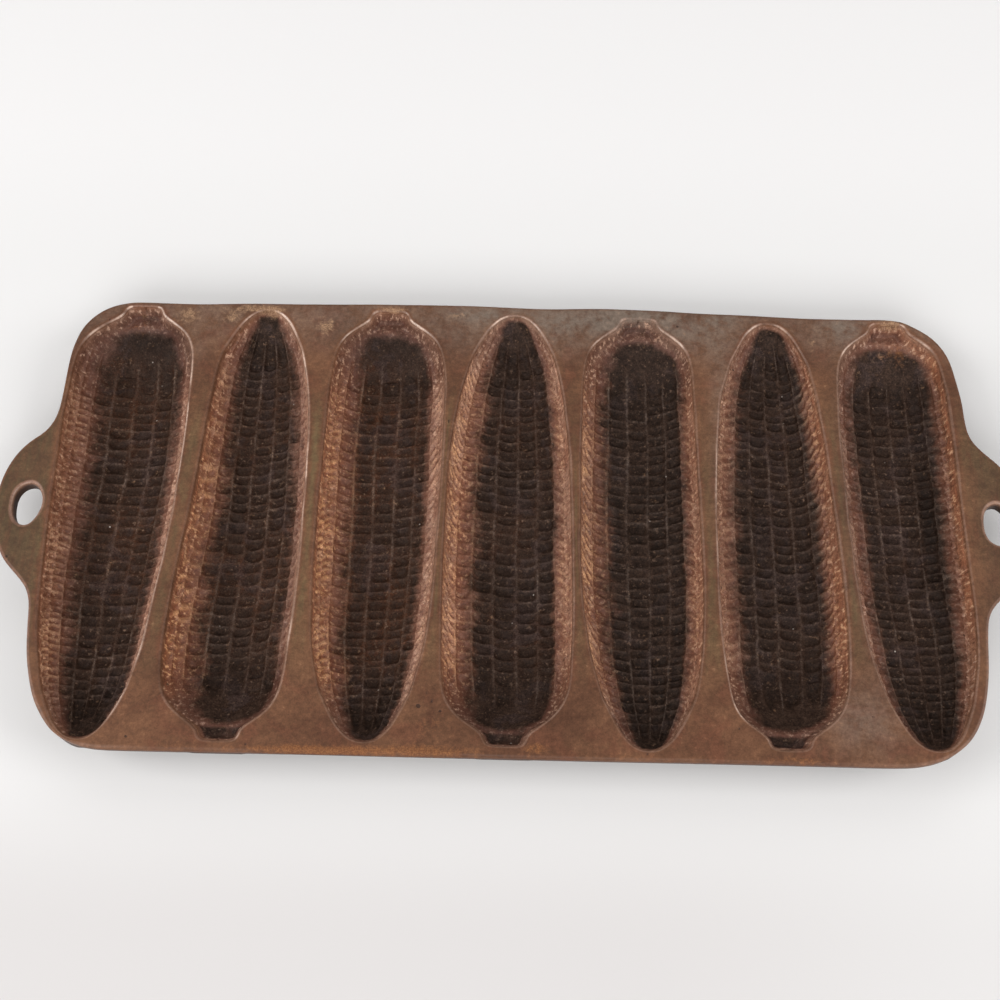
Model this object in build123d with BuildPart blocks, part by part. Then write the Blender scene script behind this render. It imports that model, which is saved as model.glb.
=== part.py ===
from build123d import *
import os

# Corn stick pan: one grey-iron casting with seven ear-shaped moulds hanging
# under a flat deck, and an ear-shaped hanging tab on each short side.
# The casting is held here as its named regions, which meet face to face:
# the deck, the seven mould cups and the two handles.
#
# Frame: +X along the pan, +Y towards the side where moulds 1, 3, 5 and 7 have
# their stalks, +Z up. The origin is under the middle of the pan, on the
# surface that it stands on. All sizes are in millimetres.

# ---------------------------------------------------------------- dimensions
OVERALL_HEIGHT = 17.4       # resting lands to the deck's top face
DECK_THICKNESS = 3.2
LIP_RADIUS = 0.8            # soft edge round each mould's mouth
RIM_RADIUS = 0.8            # soft top edge round the deck and handles

MOULD_COUNT = 7
MOULD_PITCH = 37.0          # spacing of the moulds along X
MOULD_HALF_LENGTH = 65.0    # middle of a mould to its tip, and to its stalk end
MOULD_WALL = 2.4            # iron round each cavity
FLOOR_WALL = 4.2            # iron under each cavity, before the land is cut
STANDING = 1.5              # how far a cutting form stands above the deck

STALK_WIDTH = 10.4          # socket that forms the stub of the stalk
STALK_LENGTH = 7.0
STALK_DEPTH = 4.4
STALK_CORNER = 2.0

HANDLE_THICKNESS = 5.0
HANDLE_ROOT_X = 129.3       # where each handle's region starts
HANDLE_ROOT_LENGTH = 48.0   # along Y
HOLE_X = 135.3              # middle of the pan to the middle of the hanging hole
HOLE_HALF_WIDTH = 4.1       # oval hole, across X
HOLE_HALF_LENGTH = 6.2      # and along Y
HOLE_EDGE = 1.1             # rounded mouth of the hole

TOP = OVERALL_HEIGHT
UNDER = TOP - DECK_THICKNESS

# (Y, half width, depth) of the cavity at stations along it, from the tip (-Y)
# to the shoulder where the ear rounds in to the stalk (+Y).
CAVITY = [
    (-64.6, 1.7, 1.5),
    (-62.5, 4.6, 4.0),
    (-60.0, 6.9, 6.0),
    (-55.5, 9.8, 8.4),
    (-50.0, 11.9, 10.1),
    (-40.0, 14.1, 11.9),
    (-27.0, 15.5, 12.9),
    (-10.0, 16.25, 13.4),
    (10.0, 16.8, 13.6),
    (28.0, 16.9, 13.5),
    (40.0, 16.5, 13.1),
    (48.0, 15.8, 11.9),
    (53.5, 14.3, 9.7),
    (57.0, 12.1, 7.6),
    (59.5, 9.3, 5.9),
    (61.2, 6.6, 4.6),
]

# Right half of the pan's outline, back to front.
BACK_CORNER = [
    (112.0, 68.3), (117.2, 66.9), (121.6, 64.4), (125.2, 60.8), (128.0, 56.0),
    (129.7, 50.0), (130.2, 42.0), (130.3, 33.0),
]
BACK_FLARE = [(130.3, 33.0), (130.9, 27.4), (133.6, 23.1), (137.6, 19.1)]
HANDLE_END = [(137.6, 19.1), (142.4, 11.6), (144.4, 1.0), (142.7, -9.6), (138.2, -17.0)]
FRONT_FLARE = [(138.2, -17.0), (133.6, -21.2), (130.4, -25.4), (129.3, -31.0)]
FRONT_CORNER = [
    (129.3, -31.0), (127.9, -41.5), (126.2, -49.0), (123.6, -55.6), (119.8, -61.2),
    (114.8, -65.4), (108.6, -67.7), (100.0, -68.3),
]


# Closed outline of the deck with both handles, symmetrical about X = 0.
with BuildSketch() as pan_face:
    with BuildLine():
        Line((0, 68.3), (112.0, 68.3))
        Spline(*BACK_CORNER, tangents=[(1, 0), (0, -1)])
        Spline(*BACK_FLARE, tangents=[(0, -1), (0.7, -0.72)])
        Spline(*HANDLE_END, tangents=[(0.7, -0.72), (-0.68, -0.73)])
        Spline(*FRONT_FLARE, tangents=[(-0.68, -0.73), (-0.13, -0.99)])
        Spline(*FRONT_CORNER, tangents=[(-0.13, -0.99), (-1, 0)])
        Line((100.0, -68.3), (0, -68.3))
        mirror(about=Plane.YZ)
    make_face()


def across(y):
    # Upright plane across an ear, its origin on the deck's top face.
    return Plane(origin=(0, y, TOP), x_dir=(-1, 0, 0), z_dir=(0, 1, 0))


# ------------------------------------------------------------- mould forms
# The hollow of one mould, stalk towards +Y, middle at X = Y = 0: half an
# ellipse at each station, with straight sides above the deck's top face.
with BuildPart() as cavity_form:
    for y, half_width, depth in CAVITY:
        with BuildSketch(across(y)):
            with BuildLine():
                EllipticalCenterArc((0, 0), half_width, depth, start_angle=180, arc_size=180)
                Polyline((half_width, 0), (half_width, STANDING), (-half_width, STANDING), (-half_width, 0))
            make_face()
    loft()
    # The stalk's socket runs from inside the ear to the mould's end.
    with BuildSketch(Plane.XY.offset(TOP + STANDING)):
        with Locations((0, MOULD_HALF_LENGTH - STALK_LENGTH / 2)):
            RectangleRounded(STALK_WIDTH, STALK_LENGTH, STALK_CORNER)
    extrude(amount=-(STALK_DEPTH + STANDING), taper=5)

# The outside of one mould, from the resting land up to the deck's underside.
with BuildPart() as cup_form:
    stretch = (MOULD_HALF_LENGTH + MOULD_WALL - 0.4) / MOULD_HALF_LENGTH
    for y, inner_half_width, inner_depth in CAVITY:
        half_width, depth = inner_half_width + MOULD_WALL, inner_depth + FLOOR_WALL
        with BuildSketch(across(y * stretch)):
            with BuildLine():
                EllipticalCenterArc((0, 0), half_width, depth, start_angle=180, arc_size=180)
                Polyline((half_width, 0), (half_width, STANDING), (-half_width, STANDING), (-half_width, 0))
            make_face()
    loft()
    with BuildSketch(Plane.XY.offset(TOP)):
        with Locations((0, MOULD_HALF_LENGTH - STALK_LENGTH / 2 - 1)):
            RectangleRounded(
                STALK_WIDTH + 2 * MOULD_WALL, STALK_LENGTH + 2 * MOULD_WALL - 1, STALK_CORNER + MOULD_WALL - 1
            )
    extrude(amount=-(STALK_DEPTH + MOULD_WALL), taper=8)
    split(bisect_by=Plane.XY.offset(UNDER), keep=Keep.BOTTOM)
    split(bisect_by=Plane.XY, keep=Keep.TOP)

moulds = [
    (number, (number - (MOULD_COUNT + 1) / 2) * MOULD_PITCH, 0 if number % 2 else 180)
    for number in range(1, MOULD_COUNT + 1)
]

os.makedirs("parts", exist_ok=True)

# --------------------------------------------------------------------- deck
# Flat plate between the handles, open over each cavity.
with BuildPart() as deck:
    with BuildSketch(Plane.XY.offset(UNDER)):
        add(pan_face.sketch)
        with Locations((HANDLE_ROOT_X + 20, 0), (-HANDLE_ROOT_X - 20, 0)):
            Rectangle(40, HANDLE_ROOT_LENGTH, mode=Mode.SUBTRACT)
    extrude(amount=DECK_THICKNESS)
    for number, x, turn in moulds:
        with Locations((x, 0, 0)):
            add(cavity_form.part, rotation=(0, 0, turn), mode=Mode.SUBTRACT)
    top_face = deck.faces().sort_by(Axis.Z)[-1]
    rim_edges = top_face.outer_wire().edges().filter_by(lambda edge: abs(edge.center().Y) > HANDLE_ROOT_LENGTH / 2 + 1)
    lip_edges = [edge for wire in top_face.inner_wires() for edge in wire.edges()]
    fillet(rim_edges, radius=RIM_RADIUS)
    fillet(lip_edges, radius=LIP_RADIUS)
deck.part.label = "deck"
export_step(deck.part, "parts/deck.step")

# -------------------------------------------------------------- mould cups
# Each cup hangs from the deck's underside. Neighbours meet halfway between
# their middles, where their walls have run together.
for number, x, turn in moulds:
    with BuildPart() as cob_mould:
        with Locations((x, 0, 0)):
            add(cup_form.part, rotation=(0, 0, turn))
            add(cavity_form.part, rotation=(0, 0, turn), mode=Mode.SUBTRACT)
        # The end cups are dressed flush with the deck's edge.
        with BuildSketch():
            add(pan_face.sketch)
        extrude(amount=OVERALL_HEIGHT, mode=Mode.INTERSECT)
        if number > 1:
            split(bisect_by=Plane.YZ.offset(x - MOULD_PITCH / 2), keep=Keep.TOP)
        if number < MOULD_COUNT:
            split(bisect_by=Plane.YZ.offset(x + MOULD_PITCH / 2), keep=Keep.BOTTOM)
    cob_mould.part.label = f"cob_mould_{number}"
    export_step(cob_mould.part, f"parts/cob_mould_{number}.step")

# ------------------------------------------------------------------ handles
# Ear-shaped tab flush with the deck's top face, with an oval hanging hole.
# The outermost cup stands a little way into its root.
for name, side, number in (("left_handle", -1, 1), ("right_handle", 1, MOULD_COUNT)):
    with BuildPart() as handle:
        with BuildSketch(Plane.XY.offset(TOP - HANDLE_THICKNESS)):
            add(pan_face.sketch)
            with Locations((side * (HANDLE_ROOT_X + 20), 0)):
                Rectangle(40, HANDLE_ROOT_LENGTH, mode=Mode.INTERSECT)
            with Locations((side * HOLE_X, 0)):
                Ellipse(HOLE_HALF_WIDTH, HOLE_HALF_LENGTH, mode=Mode.SUBTRACT)
        extrude(amount=HANDLE_THICKNESS)
        top_face = handle.faces().sort_by(Axis.Z)[-1]
        fillet(top_face.outer_wire().edges().filter_by(GeomType.BSPLINE), radius=RIM_RADIUS)
        fillet(handle.edges().filter_by(GeomType.ELLIPSE), radius=HOLE_EDGE)
        with Locations((moulds[number - 1][1], 0, 0)):
            add(cup_form.part, rotation=(0, 0, moulds[number - 1][2]), mode=Mode.SUBTRACT)
    handle.part.label = name
    export_step(handle.part, f"parts/{name}.step")
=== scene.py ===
import math

import bpy
import numpy as np
from mathutils import Matrix, Vector
from mathutils.geometry import delaunay_2d_cdt


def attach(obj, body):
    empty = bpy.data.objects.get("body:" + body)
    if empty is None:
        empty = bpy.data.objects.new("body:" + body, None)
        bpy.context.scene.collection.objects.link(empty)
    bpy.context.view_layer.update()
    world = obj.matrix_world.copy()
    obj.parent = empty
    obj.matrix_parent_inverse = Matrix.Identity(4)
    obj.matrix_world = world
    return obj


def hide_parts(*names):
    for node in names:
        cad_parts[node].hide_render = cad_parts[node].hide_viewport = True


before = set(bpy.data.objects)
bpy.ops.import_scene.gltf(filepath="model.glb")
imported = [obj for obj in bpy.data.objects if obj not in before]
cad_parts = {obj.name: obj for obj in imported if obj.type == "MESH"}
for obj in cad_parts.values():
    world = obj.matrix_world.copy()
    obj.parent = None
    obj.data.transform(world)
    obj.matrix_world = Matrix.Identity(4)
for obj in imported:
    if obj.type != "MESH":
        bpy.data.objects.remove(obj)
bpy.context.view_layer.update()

# The looks of a cast-iron corn stick pan. Lengths here are millimetres until a
# mesh is written. The casting is shown as seven sections, one mould each, that
# meet along the middles of the webs; together they are one closed skin.

TOP = 17.4            # deck's top face
PLATE = 3.2           # deck's thickness
TAB = 5.0             # handles' thickness
LIP = 0.80            # rounding of a mould's lip
RIM = 1.05            # rounding of the deck's top edge
FOOT = 0.7            # rounding of the deck's bottom edge
PITCH = 37.0
CENTRES = [(n - 3) * PITCH for n in range(7)]
WAY = [1 if n % 2 == 0 else -1 for n in range(7)]     # +1: stalk at the back


# ------------------------------------------------------------------- helpers
def grain(x, y, size, seed):
    """Smooth value noise, -1 to 1."""
    u, v = np.asarray(x, float) / size, np.asarray(y, float) / size
    iu, iv = np.floor(u).astype(np.int64), np.floor(v).astype(np.int64)
    fu, fv = u - iu, v - iv
    fu, fv = fu * fu * (3 - 2 * fu), fv * fv * (3 - 2 * fv)

    def at(a, b):
        h = (a * 374761393 + b * 668265263 + seed * 974634777) & 0xFFFFFFFF
        h = ((h ^ (h >> 13)) * 1274126177) & 0xFFFFFFFF
        return ((h ^ (h >> 16)) & 0xFFFF) / 32767.5 - 1

    low = at(iu, iv) * (1 - fu) + at(iu + 1, iv) * fu
    high = at(iu, iv + 1) * (1 - fu) + at(iu + 1, iv + 1) * fu
    return low * (1 - fv) + high * fv


def step(a, b, t):
    t = np.clip((np.asarray(t, float) - a) / (b - a), 0, 1)
    return t * t * (3 - 2 * t)


def soft_max(a, b, k):
    h = np.clip(0.5 + 0.5 * (a - b) / k, 0, 1)
    return b * (1 - h) + a * h + k * h * (1 - h)


def soft_min(a, b, k):
    return -soft_max(-np.asarray(a, float), -np.asarray(b, float), k)


def through(points, count=40, closed=False):
    """Catmull-Rom curve through the points."""
    p = np.array(points, float)
    if closed:
        p = np.vstack([p[-1], p, p[0], p[1]])
    else:
        p = np.vstack([2 * p[0] - p[1], p, 2 * p[-1] - p[-2]])
    out = []
    for a, b, c, d in zip(p, p[1:], p[2:], p[3:]):
        t = np.linspace(0, 1, count, endpoint=False)[:, None]
        out.append(0.5 * (2 * b + (c - a) * t + (2 * a - 5 * b + 4 * c - d) * t ** 2 + (3 * b - a - 3 * c + d) * t ** 3))
    if not closed:
        out.append(p[-2][None])
    return np.vstack(out)


def lengths(p):
    return np.concatenate([[0], np.cumsum(np.hypot(*np.diff(p, axis=0).T))])


def even(p, gap):
    """The polyline again, at about even spacing."""
    s = lengths(p)
    at = np.linspace(0, s[-1], max(2, int(round(s[-1] / gap)) + 1))
    return np.column_stack([np.interp(at, s, p[:, 0]), np.interp(at, s, p[:, 1])])


def smooth_table(table, y):
    """Smooth curve through (y, value) pairs that rise in y."""
    t = through(table, 24)
    keep = np.concatenate([[True], np.diff(t[:, 0]) > 1e-9])
    return np.interp(y, t[keep, 0], t[keep, 1])


# -------------------------------------------------------------- pan's outline
# Walked anticlockwise as seen from above, from the front right corner.
OUTLINE = [
    (100, -67.8), (107.5, -67.2), (112.5, -65.8), (116.8, -63.4), (121.0, -59.6), (124.2, -53.9), (125.9, -48.5),
    (127.3, -41.4), (128.5, -30.5), (129.7, -25.6), (132.7, -21.9), (137.8, -17.2), (142.5, -9.3), (144.3, 0.8),
    (142.7, 11.0), (138.2, 18.3), (133.9, 22.7), (130.8, 26.8), (129.9, 32.0), (129.8, 39.0), (129.0, 46.0),
    (127.8, 52.6), (126.0, 56.8), (123.8, 59.9), (121.0, 62.3), (117.6, 64.4), (113.5, 65.7), (108.6, 66.1),
    (96, 66.1), (84, 66.2), (70, 66.8), (55, 67.2), (40, 67.8), (25, 68.05), (9, 67.6), (-5, 67.9), (-22, 68.2),
    (-42, 68.0), (-60, 67.6), (-79, 67.4), (-94, 66.8), (-108, 66.9), (-116, 66.6), (-121.3, 65.0), (-125.5, 61.9),
    (-128.8, 57.2), (-130.3, 51.2), (-130.7, 44.5), (-130.8, 34.5), (-131.3, 28.9), (-133.6, 23.4), (-137.6, 19.9),
    (-141.0, 15.4), (-143.3, 9.4), (-144.2, 1.5), (-143.0, -7.6), (-139.6, -15.4), (-135.3, -20.1), (-131.5, -24.2),
    (-129.8, -28.5), (-129.1, -34.2), (-128.0, -42.3), (-126.5, -48.3), (-124.4, -54.4), (-121.6, -59.2),
    (-118.0, -63.4), (-114.0, -65.9), (-109.2, -67.4), (-103, -68.0), (-78, -68.0), (-52, -67.9), (-26, -67.9),
    (0, -67.9), (25, -67.9), (50, -67.8), (75, -67.8),
]

# ------------------------------------------------------------- mould's shapes
# Half width of a lip at stations along the ear, tip at -65, shoulder at +60.
STATIONS = [-50, -40, -30, -20, -10, 0, 10, 20, 30, 40, 50]
HALF = [11.9, 14.1, 15.2, 15.9, 16.3, 16.6, 16.8, 16.9, 16.85, 16.5, 15.6]
# Each mould as found: half widths on its own -x and +x side (stalk up), how far
# the tip and the stalk end are from the middle, and how far each leans in x.
OWN = [
    dict(low=[11.8, 14.2, 15.6, 16.5, 17.1, 17.6, 17.9, 18.3, 18.5, 18.3, 17.5], high=[11.2, 13.1, 14.1, 15.1, 16.0, 16.5, 16.8, 17.0, 16.9, 16.5, 15.9], tip=65.4, end=65.1, tip_x=0.0, end_x=0.2),
    dict(low=[11.5, 13.8, 14.9, 15.5, 15.8, 15.9, 15.9, 15.8, 15.6, 15.1, 14.4], high=[11.9, 13.2, 13.9, 14.4, 14.9, 15.5, 16.4, 17.2, 17.7, 17.8, 17.0], tip=64.7, end=64.9, tip_x=-0.2, end_x=0.5),
    dict(low=[12.6, 15.0, 15.9, 16.4, 16.7, 16.9, 16.8, 16.7, 16.6, 16.4, 15.5], high=[11.7, 14.1, 15.3, 16.0, 16.4, 16.7, 16.9, 16.95, 17.0, 16.9, 15.9], tip=64.5, end=65.1, tip_x=0.1, end_x=-0.2),
    dict(low=[11.9, 14.0, 15.2, 16.1, 16.5, 16.8, 17.0, 17.2, 17.2, 16.9, 16.1], high=[12.4, 14.9, 16.6, 17.6, 18.1, 18.2, 18.3, 18.2, 18.0, 17.6, 16.8], tip=64.4, end=64.7, tip_x=0.1, end_x=0.4),
    dict(low=[12.0, 14.6, 16.2, 17.1, 17.5, 17.5, 17.4, 17.3, 17.1, 16.8, 15.9], high=[12.5, 14.5, 15.4, 15.8, 15.8, 15.7, 15.5, 15.4, 15.2, 15.0, 14.6], tip=65.0, end=64.2, tip_x=-0.1, end_x=-0.3),
    dict(low=[11.4, 13.3, 14.5, 15.2, 15.7, 16.2, 16.6, 16.9, 16.9, 16.5, 15.5], high=[11.3, 13.7, 14.9, 15.7, 16.2, 16.6, 16.7, 16.7, 16.5, 16.1, 15.0], tip=63.4, end=63.9, tip_x=-0.9, end_x=0.5),
    dict(low=[11.7, 14.0, 15.2, 15.9, 16.5, 16.8, 17.0, 17.1, 17.0, 16.7, 15.8], high=[11.1, 13.4, 14.3, 14.5, 14.4, 14.4, 14.5, 14.6, 14.6, 14.5, 13.8], tip=63.4, end=64.3, tip_x=0.5, end_x=-0.4),
]
# Right half of a plain lip, tip to the middle of the stalk's end.
LIP_HALF = [
    (0, -65.0), (1.9, -64.75), (3.7, -63.9), (5.3, -62.5), (6.9, -60.5), (8.7, -57.3), (10.3, -54.0), (11.9, -50.0),
    (14.1, -40.0), (15.2, -30.0), (15.9, -20.0), (16.3, -10.0), (16.6, 0.0), (16.8, 10.0), (16.9, 20.0), (16.85, 30.0),
    (16.5, 40.0), (16.1, 45.5), (15.4, 50.2), (14.3, 53.6), (12.6, 56.3), (10.5, 58.3), (8.4, 59.9), (6.7, 61.2),
    (5.6, 62.5), (5.1, 63.7), (4.5, 64.5), (3.2, 64.95), (0, 65.05),
]
# Half width of the ear itself, closing behind the stalk's socket.
EAR_END = [(50.2, 15.4), (53.6, 14.3), (56.3, 12.6), (58.3, 10.5), (59.9, 8.2), (61.0, 6.0), (61.9, 3.4), (62.4, 0.3)]
DEPTH = [
    (-65.2, 0.4), (-64.6, 1.6), (-62.5, 4.1), (-60.0, 6.0), (-55.5, 8.4), (-50.0, 10.1), (-40.0, 11.8), (-27.0, 12.8),
    (-10.0, 13.3), (10.0, 13.5), (28.0, 13.4), (40.0, 13.0), (47.0, 12.0), (52.0, 10.1), (56.0, 7.7), (59.0, 5.4),
    (61.2, 3.7), (62.6, 2.6),
]
SOCKET = 4.3          # depth of the stalk's socket
# Angle across the ear, in degrees from the +X lip, of one ridge between rows.
ROW = 21.0
PHASE = [98.0, 98.0, 100.0, 82.5, 81.0, 87.0, 85.0]
# How the beads of the outer rows slant, + for strokes like a slash.
SLANT = [0.5, 0.6, 1.0, -1.5, -1.5, 0.9, -0.8]
# Where the -X wall's top row ends, and how long its beads are beside the others.
UPTO = [172, 167, 171, 171, 172, 169, 170]
BEAD = [0.72, 1.35, 0.80, 0.80, 0.90, 1.0, 0.90]


def deck_height(x, y):
    """The deck's top face, a little uneven as cast."""
    return TOP - 0.16 + 0.055 * grain(x, y, 31, 3) + 0.04 * grain(x, y, 13, 4) + 0.022 * grain(x, y, 5.5, 5)


# How bright each mould's lip is painted on its -X and +X side: rubbed wear and a painted highlight.
SHINE = [(0.05, 0.90), (0.05, 0.90), (0.05, 0.35), (0.10, 0.35), (0.15, 0.30), (0.75, 0.35), (0.50, 0.30)]

# One mould's lip and hollow, in its own frame (stalk +y, x as in the world).
class Mould:
    def __init__(self, n):
        self.n, self.x0, self.way = n, CENTRES[n], WAY[n]
        own = OWN[n]
        minus, plus = (own["low"], own["high"]) if self.way > 0 else (own["high"], own["low"])
        self.tip, self.end = own["tip"], own["end"]
        self.tip_x, self.end_x = own["tip_x"] * self.way, own["end_x"] * self.way
        ratio = {}
        for side, table in ((-1, minus), (1, plus)):
            pairs = [(y, w / h) for y, w, h in zip(STATIONS, table, HALF)]
            pairs = [(-66, pairs[0][1] * 0.5 + 0.5), *pairs, (60, pairs[-1][1] * 0.4 + 0.6), (66, 1.0)]
            ratio[side] = pairs
        self.ratio = ratio
        self.ear = through([(x, y) for x, y in LIP_HALF if y < 50] + [(w, y) for y, w in EAR_END], 24)

    def stretch(self, y):
        """Plain y to this mould's own y."""
        return np.where(y < 0, y * self.tip / 65.0, y * self.end / 65.0)

    def lean(self, y):
        return self.tip_x * step(-35, -64, y) + self.end_x * step(45, 62, y)

    def k(self, side, y):
        t = self.ratio[side]
        return smooth_table(t, y)

    def width(self, side, y):
        """Half width of the ear at plain y."""
        e = self.ear
        keep = np.concatenate([[True], np.diff(e[:, 1]) > 1e-6])
        return np.interp(y, e[keep, 1], e[keep, 0], left=0.05, right=0.05) * self.k(side, y)


MOULDS = [Mould(n) for n in range(7)]

RINGS = 74            # between a lip and the bottom of a hollow
ALONG = 452           # along half a lip


def half_lip():
    p = through(LIP_HALF, 60)
    s = lengths(p)
    at = np.linspace(0, s[-1], ALONG + 1)
    return np.column_stack([np.interp(at, s, p[:, 0]), np.interp(at, s, p[:, 1])])


BASE = half_lip()


def mould_loops(m):
    """Lip loop in world mm, anticlockwise: right half tip to stalk, then left half back, for way +1."""
    x, y = BASE.T
    right = np.column_stack([x * m.k(1, y), y])
    left = np.column_stack([-x * m.k(-1, y), y])
    return right, left


def place(m, x, y):
    """Mould's plain (x, y) to the world."""
    return m.x0 + x + m.lean(y), m.way * m.stretch(y)


def hollow(m, rng):
    """Vertices of the mould from the deck round the lip to the bottom: (rings, 2*ALONG, 3), and masks."""
    bx, by = BASE.T
    M = ALONG
    ks = {s: m.k(s, by) for s in (-1, 1)}
    # Loop order: right side tip..stalk (0..M), then left side stalk..tip (M-1..1).
    side = np.concatenate([np.ones(M + 1), -np.ones(M - 1)])
    idx = np.concatenate([np.arange(M + 1), np.arange(M - 1, 0, -1)])
    kk = np.where(side > 0, ks[1][idx], ks[-1][idx])
    lx, ly = side * bx[idx] * kk, by[idx]
    loop = np.column_stack([lx, ly])
    d = np.roll(loop, -1, 0) - np.roll(loop, 1, 0)
    d /= np.hypot(*d.T)[:, None]
    nrm = np.column_stack([d[:, 1], -d[:, 0]])       # outward, for an anticlockwise loop
    # A little softness in the normals where the lip turns sharply.
    for _ in range(6):
        nrm = (np.roll(nrm, 1, 0) + 2 * nrm + np.roll(nrm, -1, 0)) / 4
    nrm /= np.hypot(*nrm.T)[:, None]

    rows_x, rows_y, rows_h = [], [], []
    room = edge_gap(PTS, np.column_stack(place(m, lx, ly)))
    lip_r = LIP * (1 + 0.25 * grain(lx, ly, 8, 60 + m.n))
    lip_r = soft_min(lip_r, 0.40 * room, 0.08)
    betas = np.radians(np.linspace(0, 90, 7))
    for b in betas:
        off = lip_r * (1 - math.sin(b))
        rows_x.append(lx + nrm[:, 0] * off)
        rows_y.append(ly + nrm[:, 1] * off)
        rows_h.append(lip_r * (1 - math.cos(b)))
    theta0 = math.radians(5.0)
    thetas = np.linspace(theta0, math.pi / 2, RINGS)
    pull = 0.20 * step(38, 62, np.abs(ly))
    ring_dist = []
    for t in thetas:
        s = math.cos(t) if t < math.pi / 2 - 1e-6 else 0.0
        x = s * lx
        y = ly * (1 - pull * (1 - s))
        rows_x.append(x)
        rows_y.append(y)
        rows_h.append(None)
    X, Y = np.array(rows_x), np.array(rows_y)
    nf = len(betas)
    H = np.zeros_like(X)
    for i in range(nf):
        H[i] = rows_h[i]
    x, y = X[nf:], Y[nf:]
    sgn = np.broadcast_to(side, x.shape)
    w = np.where(sgn > 0, m.width(1, y), m.width(-1, y))
    rho = np.clip(np.abs(x) / np.maximum(w, 1e-6), 0, 1)
    dep = smooth_table(DEPTH, y)
    ear = dep * np.sqrt(np.clip(1 - rho ** 2, 0, 1))
    # The stalk's socket, by distance from the lip.
    near = y > 55
    dist = np.full(x.shape, 9.0)
    pts = np.column_stack([x[near], y[near]])
    edge = loop[ly > 52]
    dd = np.empty(len(pts))
    for a in range(0, len(pts), 4000):
        q = pts[a:a + 4000]
        dd[a:a + 4000] = np.sqrt(((q[:, None] - edge[None]) ** 2).sum(2).min(1))
    dist[near] = dd
    rough = 0.22 * grain(x + 50 * m.n, y, 2.3, 8) + 0.12 * grain(x, y + 31 * m.n, 1.1, 9)
    back = np.clip(dist / 2.3, 0, 1)
    sock = (SOCKET + rough * step(0.8, 2.0, dist)) * (1 - (1 - back) ** 2.2) * step(56.6, 59.4, y)
    h = soft_max(ear, sock, 0.3)
    h = np.maximum(h, lip_r[None, :])
    theta = np.degrees(np.arccos(np.clip(np.where(sgn > 0, rho, -rho), -1, 1)))
    H[nf:] = h

    # Mean surface, then kernels pressed into it along its normal.
    wx, wy = place(m, X, Y)
    Z = deck_height(wx, wy) - H
    P = np.stack([wx, wy, Z], 2)
    du = np.roll(P, -1, 1) - np.roll(P, 1, 1)
    dv = np.gradient(P, axis=0)
    N = np.cross(dv, du) * m.way
    N /= np.maximum(np.linalg.norm(N, axis=2, keepdims=True), 1e-9)
    N *= np.where(N[..., 2:3] < -0.2, -1, 1)

    cell, crest, own_depth = kernels(m, theta, y, rng)
    wave = 1.8 * np.sin(y / 15 + 2 * m.n) + 1.2 * grain(y, theta * 0 + 9 * m.n, 6, 20)
    keep = step(16.5, 23.5, theta + wave) * (1 - step(UPTO[m.n] - 4, UPTO[m.n] + 2, theta + 0.4 * wave))
    ragged = 2.4 * grain(theta / 6, y * 0 + m.n * 7, 1.3, 21)
    start = -63.5 if m.way > 0 else -61.0
    keep = keep * step(start, start + 6, y + ragged) * (1 - step(46.5, 53.5, y + ragged))
    worn = 0.86 + 0.22 * grain(wx[nf:], wy[nf:], 9, 30) + 0.1 * grain(wx[nf:], wy[nf:], 3.5, 31)
    press = keep * np.clip(worn, 0.45, 1.15)
    dent = 1 + 0.22 * grain(wx[nf:], wy[nf:], 1.7, 38)
    lift = press * (0.42 - 1.12 * own_depth * cell * dent) * (1 - 0.45 * step(158, 167, theta))
    # Uneven cast skin, stronger where there are no kernels.
    skin = 0.10 * grain(wx[nf:], wy[nf:] + Z[nf:], 3.2, 33) + 0.07 * grain(wx[nf:] + Z[nf:], wy[nf:], 1.4, 34) + 0.05 * grain(wx[nf:], wy[nf:], 0.8, 35)
    skin = skin * step(0.0, 0.35, (H[nf:] - lip_r) / 3)
    move = np.zeros(X.shape)
    move[nf:] = lift + skin
    P = P + N * move[..., None]

    # The lips on the far and the right side are painted brightest: rubbed wear and a painted highlight.
    back_ = m.way * nrm[:, 1]
    left, right = SHINE[m.n]
    shine = 0.08 + 0.85 * step(0.30, 0.72, back_) * (1 - 0.7 * step(0.94, 0.99, back_)) + 0.34 * step(0.15, 0.7, -back_)
    shine = shine + right * np.clip(nrm[:, 0], 0, 1) ** 2 + left * np.clip(-nrm[:, 0], 0, 1) ** 2
    shine = (np.clip(shine, 0, 1) * np.clip(0.80 + 0.4 * grain(lx, ly, 6, 62 + m.n), 0.3, 1.1))[None]
    masks = {
        "depth": H,
        "crest": np.vstack([np.zeros((nf, X.shape[1])), crest * keep]),
        "kern": np.vstack([np.zeros((nf, X.shape[1])), keep]),
        "cell": np.vstack([np.zeros((nf, X.shape[1])), np.clip(cell * own_depth, 0, 1.2) * keep]),
        "edge": np.vstack([np.repeat(np.sin(betas * 2)[:, None] ** 0.7, X.shape[1], 1), 0.6 * (1 - step(0.0, 1.5, H[nf:] - lip_r))]) * shine,
        "angle": np.vstack([np.repeat(theta[:1], nf, 0), theta]),
        "plain_y": Y,
    }
    uv = np.stack([X, Y], 2)
    return P, masks, uv, loop, nrm, lip_r


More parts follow.
